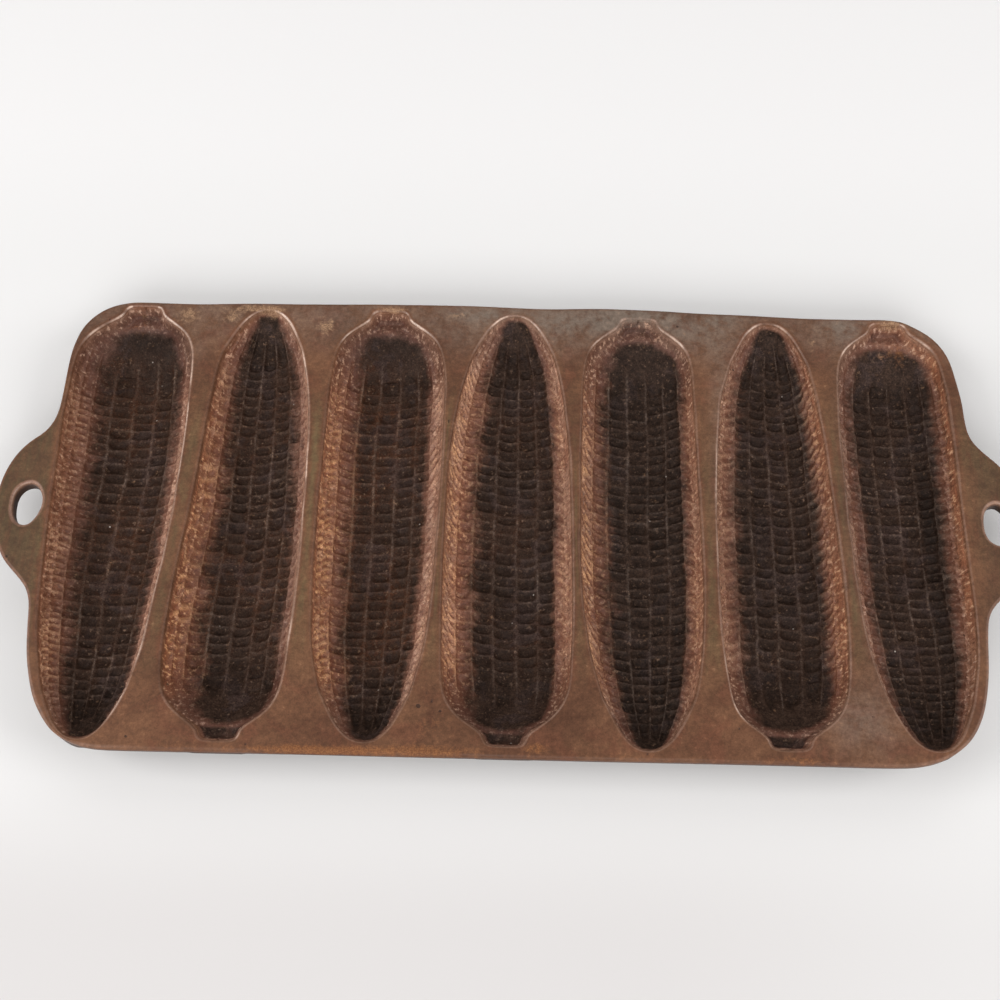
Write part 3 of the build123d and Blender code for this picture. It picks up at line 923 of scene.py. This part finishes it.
def paint(n, v, skin):
    """Stain, wear and painted light and shade masks of one section, from 0 to about 1."""
    m = MOULDS[n]
    x, y, z = v.T
    got = {k: np.concatenate(p) for k, p in skin.masks.items()}
    h, theta, py = got["depth"], got["angle"], got["plain_y"]
    hollow_ = got["face_up"] == 1.0
    blot = 0.5 * grain(x, y + z, 9, 90) + 0.35 * grain(x + z, y, 3.4, 91)
    # Where the black lies: baked-on soot, and painted shade deeper in the hollow.
    far = step(-45, 45, y)
    (lf, ln), (rf, rn) = BLACK[n]
    side = np.minimum((lf * far + ln * (1 - far) - theta) / 58, (theta - rf * far - rn * (1 - far)) / SOFT[n]) + 0.48 + 0.16 * blot
    deep = np.where(py < 0, (h - 1.9) / 2.4, (h - 4.9) / 4.2) + 0.48 + 0.25 * blot
    soot_and_shade = np.clip(np.minimum(side, deep), -0.6, 1.6)
    socket = step(59.5, 61.5, py) * step(2.6, 3.6, h)
    soot_and_shade = np.where(socket > 0, np.maximum(soot_and_shade, (0.62 if m.way < 0 else 0.42) * socket), soot_and_shade)
    got["soot_and_shade"] = np.where(hollow_, soot_and_shade, -0.6)
    left, right = WARM[n]
    left = left * (0.75 + 0.35 * grain(y, x * 0 + n * 5, 21, 92))
    right = right * (0.75 + 0.35 * grain(y, x * 0 + n * 5 + 3, 21, 93))
    warm = np.where(theta > 90, left, right) * step(-62, -44, y) * (1 - 0.75 * step(36, 58, y))
    if n == 6:
        # Its +X wall is bright just under the lip.
        upper = (1 - step(3.2, 6.2, h)) * step(-42, -18, y) * (1 - 0.6 * step(50, 62, y))
        warm = np.where(theta < 90, 0.6 * upper, warm)
    got["warm"] = np.where(hollow_, np.clip(warm, 0, 1.2), 0)
    got["brown"] = np.where(hollow_, BROWN[n] * (0.8 + 0.5 * grain(x, y, 16, 97)) * step(-64, -40, y) * step(66, 40, y), 0)
    # Paler walls: rubbed wear and a painted sheen.
    left, right = PALE[n]
    # The walls at the moulds' ends are painted darker, a painted shade.
    ends = np.maximum(step(35, 50, py), 0.5 * step(-46, -58, py))
    got["pale"] = np.where(hollow_, np.where(theta > 90, left, right) * (1 - 0.8 * ends), 0)
    got["ends"] = np.where(hollow_, ends * (0.45 if n == 6 else 1.0), 0)
    # Olive where the webs are narrow, and along the outer rims.
    olive = (1 - step(24, 50, np.abs(y + 4))) * (0.7 + 0.5 * grain(x, y, 26, 94))
    tab = step(126, 133, np.abs(x))
    olive = olive * np.where(x > 95, 0.45 + 0.4 * tab, 1)
    got["olive"] = np.where(got["face_up"] == 2.0, np.clip(olive, 0, 1), 0)
    top = (got["face_up"] > 0).astype(float)
    got["rust"] = spots(x, y, RUST) * top
    got["crust"] = spots(x, y, CRUST) * top * (1 - step(1.5, 4, h))
    # Grey crust in spots, and the deck greyer towards the back as a painted sheen.
    got["grey"] = spots(x, y, GREY) * top * (1 - step(4, 7, h)) + 0.45 * step(44, 66, y) * (got["face_up"] == 2.0)
    got["shade"] = spots(x, y, SHADE) * top
    got["pit"] = np.clip(spots(x, y, PITS), 0, 1) * (got["face_up"] == 2.0)
    got["flank"] = np.where(got["face_up"] < 0, 1.0, got["flank"])
    got["flank"] = np.where(got["face_up"] == 2.0, 0.42 * tab, got["flank"])
    # The deck's brown runs further down the second mould's -X wall.
    got["depth"] = np.where((n == 1) & hollow_ & (theta > 90), h * 0.6, h)
    # Ridges rubbed away in places.
    rub = 0.55 + 0.5 * grain(x, y, 7, 95) + 0.35 * grain(x, y, 2.4, 96)
    got["crest"] = got["crest"] * np.clip(rub, 0.08, 1)
    return {k: got[k] for k in ("depth", "crest", "kern", "cell", "edge", "soot_and_shade", "warm", "pale", "brown", "ends", "olive", "rust", "crust", "grey", "shade", "pit", "flank")}


skins = [section(n) for n in range(7)]


# ------------------------------------------------------------------ normals
def face_arrays(s):
    v = np.vstack(s.v)
    f = np.vstack(s.f)
    kind = np.concatenate(s.kind)
    return v, f, kind


def corner_normals(all_parts):
    """Smooth normals over the whole skin, so that no section's border shows."""
    sums, parts = {}, []
    keys, vals = [], []
    for v, f, kind in all_parts:
        tri = f[:, 3] < 0
        acc = np.zeros_like(v)
        skinface = kind != 5
        for sel, width in ((tri & skinface, 3), (~tri & skinface, 4)):
            q = f[sel][:, :width]
            if not len(q):
                continue
            if width == 3:
                nn = np.cross(v[q[:, 1]] - v[q[:, 0]], v[q[:, 2]] - v[q[:, 0]])
            else:
                nn = np.cross(v[q[:, 2]] - v[q[:, 0]], v[q[:, 3]] - v[q[:, 1]])
            for c in range(width):
                np.add.at(acc, q[:, c], nn)
        keys.append(np.round(v, 5))
        vals.append(acc)
    key = np.vstack(keys)
    val = np.vstack(vals)
    _, inv = np.unique(key, axis=0, return_inverse=True)
    inv = inv.ravel()
    total = np.zeros((inv.max() + 1, 3))
    np.add.at(total, inv, val)
    total /= np.maximum(np.linalg.norm(total, axis=1, keepdims=True), 1e-12)
    out, at = [], 0
    for v, _, _ in all_parts:
        out.append(total[inv[at:at + len(v)]])
        at += len(v)
    return out


parts = [face_arrays(s) for s in skins]
vertex_normals = corner_normals(parts)

def write_mesh(name, v, f, kind, masks, normals):
    me = bpy.data.meshes.new(name)
    tri = f[:, 3] < 0
    sizes = np.where(tri, 3, 4)
    loops = f[np.column_stack([np.ones((len(f), 3), bool), ~tri])]
    start = np.concatenate([[0], np.cumsum(sizes)[:-1]])
    me.vertices.add(len(v))
    me.vertices.foreach_set("co", (v * 0.001).astype(np.float32).ravel())
    me.loops.add(len(loops))
    me.loops.foreach_set("vertex_index", loops.astype(np.int32))
    me.polygons.add(len(f))
    me.polygons.foreach_set("loop_start", start.astype(np.int32))
    me.polygons.foreach_set("use_smooth", np.ones(len(f), bool))
    me.update(calc_edges=True)
    me.validate(verbose=False)
    for k, value in masks.items():
        a = me.attributes.new(k, "FLOAT", "POINT")
        a.data.foreach_set("value", np.ascontiguousarray(value, np.float32))
    nn = normals[loops].copy()
    # Cut faces are flat.
    caps = np.where(kind == 5)[0]
    for i in caps:
        a, b, c = v[f[i, 0]], v[f[i, 1]], v[f[i, 2]]
        q = np.cross(b - a, c - a)
        q /= max(np.linalg.norm(q), 1e-12)
        nn[start[i]:start[i] + sizes[i]] = q
    me.normals_split_custom_set(nn.tolist())
    return me


pieces = []
for n, ((v, f, kind), skin, normals) in enumerate(zip(parts, skins, vertex_normals)):
    me = write_mesh(f"pan_section_{n + 1}", v, f, kind, paint(n, v, skin), normals)
    ob = bpy.data.objects.new(f"pan_section_{n + 1}", me)
    bpy.context.scene.collection.objects.link(ob)
    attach(ob, "root")
    stands = [f"cob_mould_{n + 1}", "deck"]
    if n == 0:
        stands.append("left_handle")
    if n == 6:
        stands.append("right_handle")
    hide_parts(*stands)
    pieces.append(ob)

# ----------------------------------------------------------------- material
def tone(r, g, b):
    """Display colour, 0 to 255, as linear."""
    return tuple(c / 255 / 12.92 if c <= 10 else ((c / 255 + 0.055) / 1.055) ** 2.4 for c in (r, g, b)) + (1.0,)


class Net:
    """Short ways to add shader nodes. Sockets and plain numbers both go in."""

    def __init__(self, tree):
        self.tree = tree
        self.at = 0

    def node(self, kind, **props):
        n = self.tree.nodes.new(kind)
        n.location = (-2400 + 180 * (self.at % 12), 900 - 240 * (self.at // 12))
        self.at += 1
        for k, v in props.items():
            setattr(n, k, v)
        return n

    def put(self, socket, value):
        if isinstance(value, bpy.types.NodeSocket):
            self.tree.links.new(value, socket)
        else:
            socket.default_value = value

    def math(self, op, a, b=0.0, clamp=False):
        n = self.node("ShaderNodeMath", operation=op, use_clamp=clamp)
        self.put(n.inputs[0], a)
        self.put(n.inputs[1], b)
        return n.outputs[0]

    def add(self, a, b):
        return self.math("ADD", a, b)

    def sub(self, a, b):
        return self.math("SUBTRACT", a, b)

    def mul(self, a, b):
        return self.math("MULTIPLY", a, b)

    def top(self, a, b):
        return self.math("MAXIMUM", a, b)

    def step(self, v, lo, hi, out_lo=0.0, out_hi=1.0):
        n = self.node("ShaderNodeMapRange", interpolation_type="SMOOTHSTEP", clamp=True)
        for k, q in zip(("Value", "From Min", "From Max", "To Min", "To Max"), (v, lo, hi, out_lo, out_hi)):
            self.put(n.inputs[k], q)
        return n.outputs[0]

    def mix(self, fac, a, b, blend="MIX"):
        n = self.node("ShaderNodeMix", data_type="RGBA", blend_type=blend, clamp_factor=True)
        self.put(n.inputs[0], fac)
        self.put(n.inputs[6], a)
        self.put(n.inputs[7], b)
        return n.outputs[2]

    def grey(self, v):
        n = self.node("ShaderNodeCombineColor")
        for i in range(3):
            self.put(n.inputs[i], v)
        return n.outputs[0]

    def mask(self, name):
        return self.node("ShaderNodeAttribute", attribute_name=name).outputs["Fac"]

    def noise(self, where, size, detail=3.0, rough=0.55, warp=0.0):
        n = self.node("ShaderNodeTexNoise", noise_dimensions="3D")
        self.put(n.inputs["Vector"], where)
        for k, q in (("Scale", 1 / size), ("Detail", detail), ("Roughness", rough), ("Distortion", warp)):
            n.inputs[k].default_value = q
        return n.outputs[0]

    def cells(self, where, size, feature="F1"):
        n = self.node("ShaderNodeTexVoronoi", feature=feature)
        self.put(n.inputs["Vector"], where)
        n.inputs["Scale"].default_value = 1 / size
        return n


iron = bpy.data.materials.new("seasoned_iron")
iron.use_nodes = True
nt = iron.node_tree
bsdf = nt.nodes["Principled BSDF"]
N = Net(nt)
scale = N.node("ShaderNodeVectorMath", operation="SCALE")
N.put(scale.inputs[0], N.node("ShaderNodeTexCoord").outputs["Object"])
scale.inputs["Scale"].default_value = 1000.0
mm = scale.outputs[0]
long_ = N.node("ShaderNodeMapping")
N.put(long_.inputs["Vector"], mm)
long_.inputs["Scale"].default_value = (1.0, 0.16, 0.5)
along = long_.outputs[0]
# The walls' grain is drawn out down their height.
tall_ = N.node("ShaderNodeMapping")
N.put(tall_.inputs["Vector"], mm)
tall_.inputs["Scale"].default_value = (1.0, 1.0, 0.34)
down = tall_.outputs[0]

m_crest, m_kern, m_edge, m_soot_and_shade = (N.mask(k) for k in ("crest", "kern", "edge", "soot_and_shade"))
m_warm, m_olive, m_rust, m_crust = (N.mask(k) for k in ("warm", "olive", "rust", "crust"))
m_grey, m_pit, m_flank, m_depth = (N.mask(k) for k in ("grey", "pit", "flank", "depth"))
m_cell, m_pale, m_brown, m_ends, m_shade = (N.mask(k) for k in ("cell", "pale", "brown", "ends", "shade"))

coarse = N.noise(mm, 21, 3, 0.5, 0.4)
patch = N.noise(mm, 8.5, 4, 0.55, 0.6)
mid = N.noise(mm, 3.1, 4, 0.6)
fine = N.noise(mm, 1.15, 4, 0.6)
sand = N.noise(mm, 0.42, 3, 0.6)
streak = N.noise(along, 1.5, 3, 0.6, 0.3)
skin = N.noise(down, 5.5, 4, 0.6, 0.5)
speck = N.noise(down, 1.0, 2, 0.6)

# Deck: brown, redder and greyer in patches, greyer towards the back as a painted sheen, olive where the oil has pooled.
deck = N.mix(N.step(N.add(N.mul(coarse, 0.55), N.mul(patch, 0.45)), 0.40, 0.60), tone(114, 77, 54), tone(96, 62, 43))
deck = N.mix(N.mul(N.step(patch, 0.50, 0.66), 0.38), deck, tone(121, 74, 53))
deck = N.mix(N.mul(m_olive, N.step(N.add(streak, N.mul(coarse, 0.6)), 0.62, 0.92, 0.35, 0.9)), deck, tone(104, 84, 57))
deck = N.mix(N.mul(m_grey, N.step(mid, 0.14, 0.66)), deck, tone(117, 101, 89))
deck = N.mix(1.0, deck, N.grey(N.step(N.add(N.mul(fine, 0.4), N.mul(mid, 0.6)), 0.34, 0.66, 0.84, 1.18)), "MULTIPLY")

# Walls of the moulds above the black, with the beads of the outer rows.
wall = N.mix(N.step(skin, 0.40, 0.60), tone(156, 112, 88), tone(132, 90, 70))
# Pale walls: rubbed wear and a painted sheen where the walls are seen at a glancing angle.
wall = N.mix(m_pale, wall, N.mix(N.step(skin, 0.42, 0.60), tone(186, 144, 122), tone(160, 117, 97)))
# Painted shade: the walls at the moulds' ends are darker.
wall = N.mix(N.mul(m_ends, 0.85), wall, N.mix(N.step(skin, 0.42, 0.60), tone(114, 82, 68), tone(88, 61, 51)))
wall = N.mix(N.mul(m_grey, 0.8), wall, N.mix(N.step(skin, 0.42, 0.60), tone(130, 110, 98), tone(90, 74, 66)))
hot = N.mul(m_warm, N.step(N.add(mid, N.mul(patch, 0.5)), 0.50, 0.90, 0.35, 1.0))
wall = N.mix(N.mul(hot, 0.9), wall, N.mix(N.step(skin, 0.38, 0.60), tone(178, 110, 74), tone(148, 88, 58)))
# Painted shade: the walls are darker in the kernels' pockets.
pocket = N.mul(m_kern, N.sub(1.0, m_crest))
wall = N.mix(N.mul(pocket, 0.35), wall, tone(104, 66, 49))
# Bright beads and specks: partly painted highlights on the kernels' crests, partly worn orange iron.
bead = N.mul(N.mul(m_crest, m_kern), N.step(N.add(mid, N.mul(fine, 0.5)), 0.55, 0.90, 0.3, 1.0))
wall = N.mix(N.mul(bead, 0.9), wall, N.mix(hot, tone(188, 148, 126), tone(252, 190, 134)))
wall = N.mix(N.mul(N.step(speck, 0.53, 0.70), 0.75), wall, N.mix(hot, tone(204, 166, 144), tone(255, 194, 138)))
wall = N.mix(N.mul(N.step(speck, 0.44, 0.30), 0.60), wall, tone(86, 53, 39))
wall = N.mix(1.0, wall, N.grey(N.step(N.add(N.mul(skin, 0.5), N.mul(sand, 0.5)), 0.36, 0.64, 0.80, 1.20)), "MULTIPLY")

# Baked-on black in the floors, together with painted shade of the deep floors, worn to grey along the ridges.
black = N.mix(N.step(mid, 0.38, 0.62), tone(58, 43, 35), tone(45, 33, 27))
brown = N.mul(m_brown, N.step(N.add(mid, N.mul(patch, 0.7)), 0.62, 1.05, 0.25, 1.0))
black = N.mix(N.mul(brown, 0.75), black, N.mix(N.step(fine, 0.4, 0.6), tone(96, 58, 38), tone(62, 41, 29)))
black = N.mix(N.mul(N.step(patch, 0.52, 0.62), 0.6), black, tone(62, 49, 46))
# Painted shade: the floors darken towards the middle of each kernel's pocket.
black = N.mix(N.mul(N.step(m_cell, 0.15, 0.95), 0.54), black, tone(29, 20, 15))
worn = N.mul(m_crest, N.mul(N.step(N.add(mid, N.mul(fine, 0.6)), 0.60, 1.0, 0.25, 1.0), N.step(speck, 0.34, 0.60, 0.45, 1.0)))
black = N.mix(worn, black, N.mix(N.mul(brown, 0.7), tone(96, 83, 75), tone(102, 76, 60)))
black = N.mix(N.mul(N.step(speck, 0.58, 0.74), N.step(mid, 0.40, 0.60, 0.15, 0.7)), black, tone(108, 86, 72))
black = N.mix(1.0, black, N.grey(N.step(N.add(N.mul(fine, 0.5), N.mul(sand, 0.5)), 0.34, 0.66, 0.60, 1.48)), "MULTIPLY")

here = N.add(m_soot_and_shade, N.add(N.mul(N.sub(fine, 0.5), 0.35), N.mul(N.sub(mid, 0.5), 0.5)))
sooty_and_shaded = N.step(here, 0.26, 0.72)
red = N.mul(N.step(here, 0.0, 0.40), N.step(here, 0.42, 0.95, 1.0, 0.0))
in_mould = N.step(N.add(m_depth, N.mul(N.sub(speck, 0.5), 1.6)), 0.5, 2.0)
colour = N.mix(in_mould, deck, wall)
# Painted highlight: the walls are lighter in a band just under the lip.
under_lip = N.mul(N.step(m_depth, 0.1, 0.6), N.step(m_depth, 1.0, 3.0, 1.0, 0.0))
colour = N.mix(1.0, colour, N.grey(N.add(1.0, N.mul(under_lip, 0.28))), "MULTIPLY")
colour = N.mix(N.mul(red, 0.55), colour, tone(92, 52, 41))
colour = N.mix(sooty_and_shaded, colour, black)

# Lips and rims are painted paler: rubbed wear and painted highlights.
rub = N.mul(m_edge, N.step(N.add(mid, fine), 0.80, 1.15, 0.60, 1.0))
colour = N.mix(N.mul(rub, N.sub(1.0, sooty_and_shaded)), colour, N.mix(N.step(m_edge, 0.5, 0.95), tone(172, 135, 115), tone(232, 200, 180)))

# Rust, pale crust and pits.
rough_edge = N.add(N.mul(N.sub(fine, 0.5), 1.3), N.mul(N.sub(mid, 0.5), 1.1))
rusty = N.step(N.add(m_rust, rough_edge), 0.20, 1.15)
colour = N.mix(N.mul(rusty, 0.65), colour, N.mix(N.step(sand, 0.4, 0.6), tone(128, 80, 50), tone(154, 102, 62)))
crusty = N.step(N.add(m_crust, rough_edge), 0.18, 0.92)
colour = N.mix(N.mul(crusty, 0.70), colour, N.mix(N.step(N.add(sand, N.mul(fine, 0.5)), 0.60, 0.90), tone(134, 102, 78), tone(178, 142, 110)))
pitted = N.step(N.add(m_pit, N.mul(N.sub(fine, 0.5), 0.8)), 0.45, 0.62)
dots = N.cells(mm, 6.5)
dot = N.mul(N.step(dots.outputs["Distance"], 0.035, 0.075, 1.0, 0.0), N.step(patch, 0.50, 0.56))
dark = N.top(pitted, N.mul(dot, N.sub(1.0, sooty_and_shaded)))
colour = N.mix(N.mul(dark, 0.8), colour, tone(48, 32, 26))
# The sides and the underside are darker.
colour = N.mix(N.mul(m_flank, N.step(mid, 0.35, 0.65, 0.95, 0.75)), colour, tone(54, 39, 33))
# Bright flecks of bare metal and salt.
flecks = N.cells(mm, 5.2)
fleck = N.mul(N.step(flecks.outputs["Distance"], 0.03, 0.06, 1.0, 0.0), N.mul(sooty_and_shaded, N.step(N.noise(mm, 13, 2), 0.52, 0.57)))
colour = N.mix(N.mul(fleck, 0.7), colour, tone(190, 178, 168))
colour = N.mix(1.0, colour, N.grey(N.step(N.add(N.mul(sand, 0.6), N.mul(fine, 0.4)), 0.32, 0.68, 0.84, 1.16)), "MULTIPLY")
colour = N.mix(1.0, colour, N.grey(N.add(m_shade, 1.0)), "MULTIPLY")
N.put(bsdf.inputs["Base Color"], colour)

rough = N.step(N.add(N.mul(mid, 0.5), N.mul(fine, 0.5)), 0.35, 0.65, 0.46, 0.62)
rough = N.add(rough, N.mul(sooty_and_shaded, 0.06))
rough = N.sub(rough, N.mul(m_edge, 0.26))
rough = N.add(rough, N.mul(N.top(crusty, rusty), 0.25))
N.put(bsdf.inputs["Roughness"], rough)
bsdf.inputs["Specular IOR Level"].default_value = 0.2
N.put(bsdf.inputs["Specular IOR Level"], N.add(N.step(sooty_and_shaded, 0.0, 1.0, 0.26, 0.10), N.mul(m_edge, 0.5)))
bsdf.inputs["IOR"].default_value = 1.5

height = N.add(N.mul(sand, 0.35), N.add(N.mul(fine, 0.7), N.mul(mid, 0.5)))
height = N.add(height, N.mul(N.top(crusty, N.mul(rusty, 0.5)), N.mul(sand, 0.5)))
height = N.sub(height, N.mul(dark, 1.2))
bump = N.node("ShaderNodeBump")
bump.inputs["Strength"].default_value = 0.75
bump.inputs["Distance"].default_value = 0.00009
N.put(bump.inputs["Height"], height)
N.put(bsdf.inputs["Normal"], bump.outputs[0])
for ob in pieces:
    ob.data.materials.append(iron)

# -------------------------------------------------------------------- stage
floor_mesh = bpy.data.meshes.new("floor")
floor_mesh.from_pydata([(-4, -4, 0), (4, -4, 0), (4, 4, 0), (-4, 4, 0)], [], [(0, 1, 2, 3)])
floor = bpy.data.objects.new("floor", floor_mesh)
bpy.context.scene.collection.objects.link(floor)
paper = bpy.data.materials.new("paper")
paper.use_nodes = True
pb = paper.node_tree.nodes["Principled BSDF"]
# The paper is a little greyer at the front and whiter at the back: painted shade where the light falls off towards the
# front, and a painted brighter back.
Q = Net(paper.node_tree)
place_ = Q.node("ShaderNodeSeparateXYZ")
Q.put(place_.inputs[0], Q.node("ShaderNodeTexCoord").outputs["Object"])
front_ = Q.mul(Q.step(place_.outputs["Y"], -0.062, -0.112), Q.step(place_.outputs["X"], 0.03, 0.15, 1.0, 0.5))
sheet = Q.mix(Q.step(place_.outputs["Y"], 0.085, 0.15), (0.86, 0.85, 0.845, 1), (0.90, 0.887, 0.885, 1))
Q.put(pb.inputs["Base Color"], Q.mix(front_, sheet, (0.745, 0.720, 0.714, 1)))
pb.inputs["Roughness"].default_value = 0.9
floor.data.materials.append(paper)

scene = bpy.context.scene
scene.view_settings.view_transform = "Standard"
scene.view_settings.look = "None"

world = bpy.data.worlds.new("studio")
scene.world = world
world.use_nodes = True
world.node_tree.nodes["Background"].inputs["Color"].default_value = (1.0, 0.985, 0.97, 1)
world.node_tree.nodes["Background"].inputs["Strength"].default_value = 0.295


def softbox(name, at, aim, width, height, power, colour=(1, 1, 1)):
    data = bpy.data.lights.new(name, "AREA")
    data.shape = "RECTANGLE"
    data.size, data.size_y = width, height
    data.energy = power
    data.color = colour
    ob = bpy.data.objects.new(name, data)
    ob.location = at
    ob.rotation_euler = (Vector(aim) - Vector(at)).to_track_quat("-Z", "Y").to_euler()
    scene.collection.objects.link(ob)
    return ob


softbox("front", (-0.20, -1.80, 1.50), (0, 0, 0), 1.8, 1.0, 26.0)
softbox("back", (-0.05, 0.62, 0.85), (0, 0.1, 0), 1.2, 0.6, 1.35)
softbox("left", (-0.90, -0.13, 0.75), (0, 0, 0), 0.6, 0.6, 5.3)
softbox("right", (0.90, -0.13, 0.75), (0, 0, 0), 0.6, 0.6, 4.7)

# ------------------------------------------------------------------- camera
# Fitted to the fourteen mould ends: elevation 66 degrees, focal length 1284.4
# pixels of a 1000 pixel frame.
ELEV, FOCAL, TURN, ROLL = math.radians(66.0), 1284.4, -0.0263, -0.0019
SCALE = 37.0 / 36.7
cam_at = np.array([-2.95, 4.33 - 324.8 / math.tan(ELEV), 324.8])
fw = np.array([0, math.cos(ELEV), -math.sin(ELEV)])
rt = np.array([1.0, 0, 0])
dn = np.cross(fw, rt)
c, s = math.cos(ROLL), math.sin(ROLL)
right, down = c * rt - s * dn, s * rt + c * dn
co, si = math.cos(-TURN), math.sin(-TURN)
turn = np.array([[co, -si, 0], [si, co, 0], [0, 0, 1]])
at = turn @ cam_at * SCALE + [0, 0, TOP]
R, D, F = turn @ right, turn @ down, turn @ fw
cam_data = bpy.data.cameras.new("camera")
cam_data.sensor_width = 36.0
cam_data.lens = FOCAL / 1000 * 36.0
cam_data.clip_start, cam_data.clip_end = 0.01, 20
cam = bpy.data.objects.new("camera", cam_data)
scene.collection.objects.link(cam)
cam.matrix_world = Matrix((
    (R[0], -D[0], -F[0], at[0] * 0.001),
    (R[1], -D[1], -F[1], at[1] * 0.001),
    (R[2], -D[2], -F[2], at[2] * 0.001),
    (0, 0, 0, 1),
))
scene.camera = cam

bpy.context.view_layer.update()
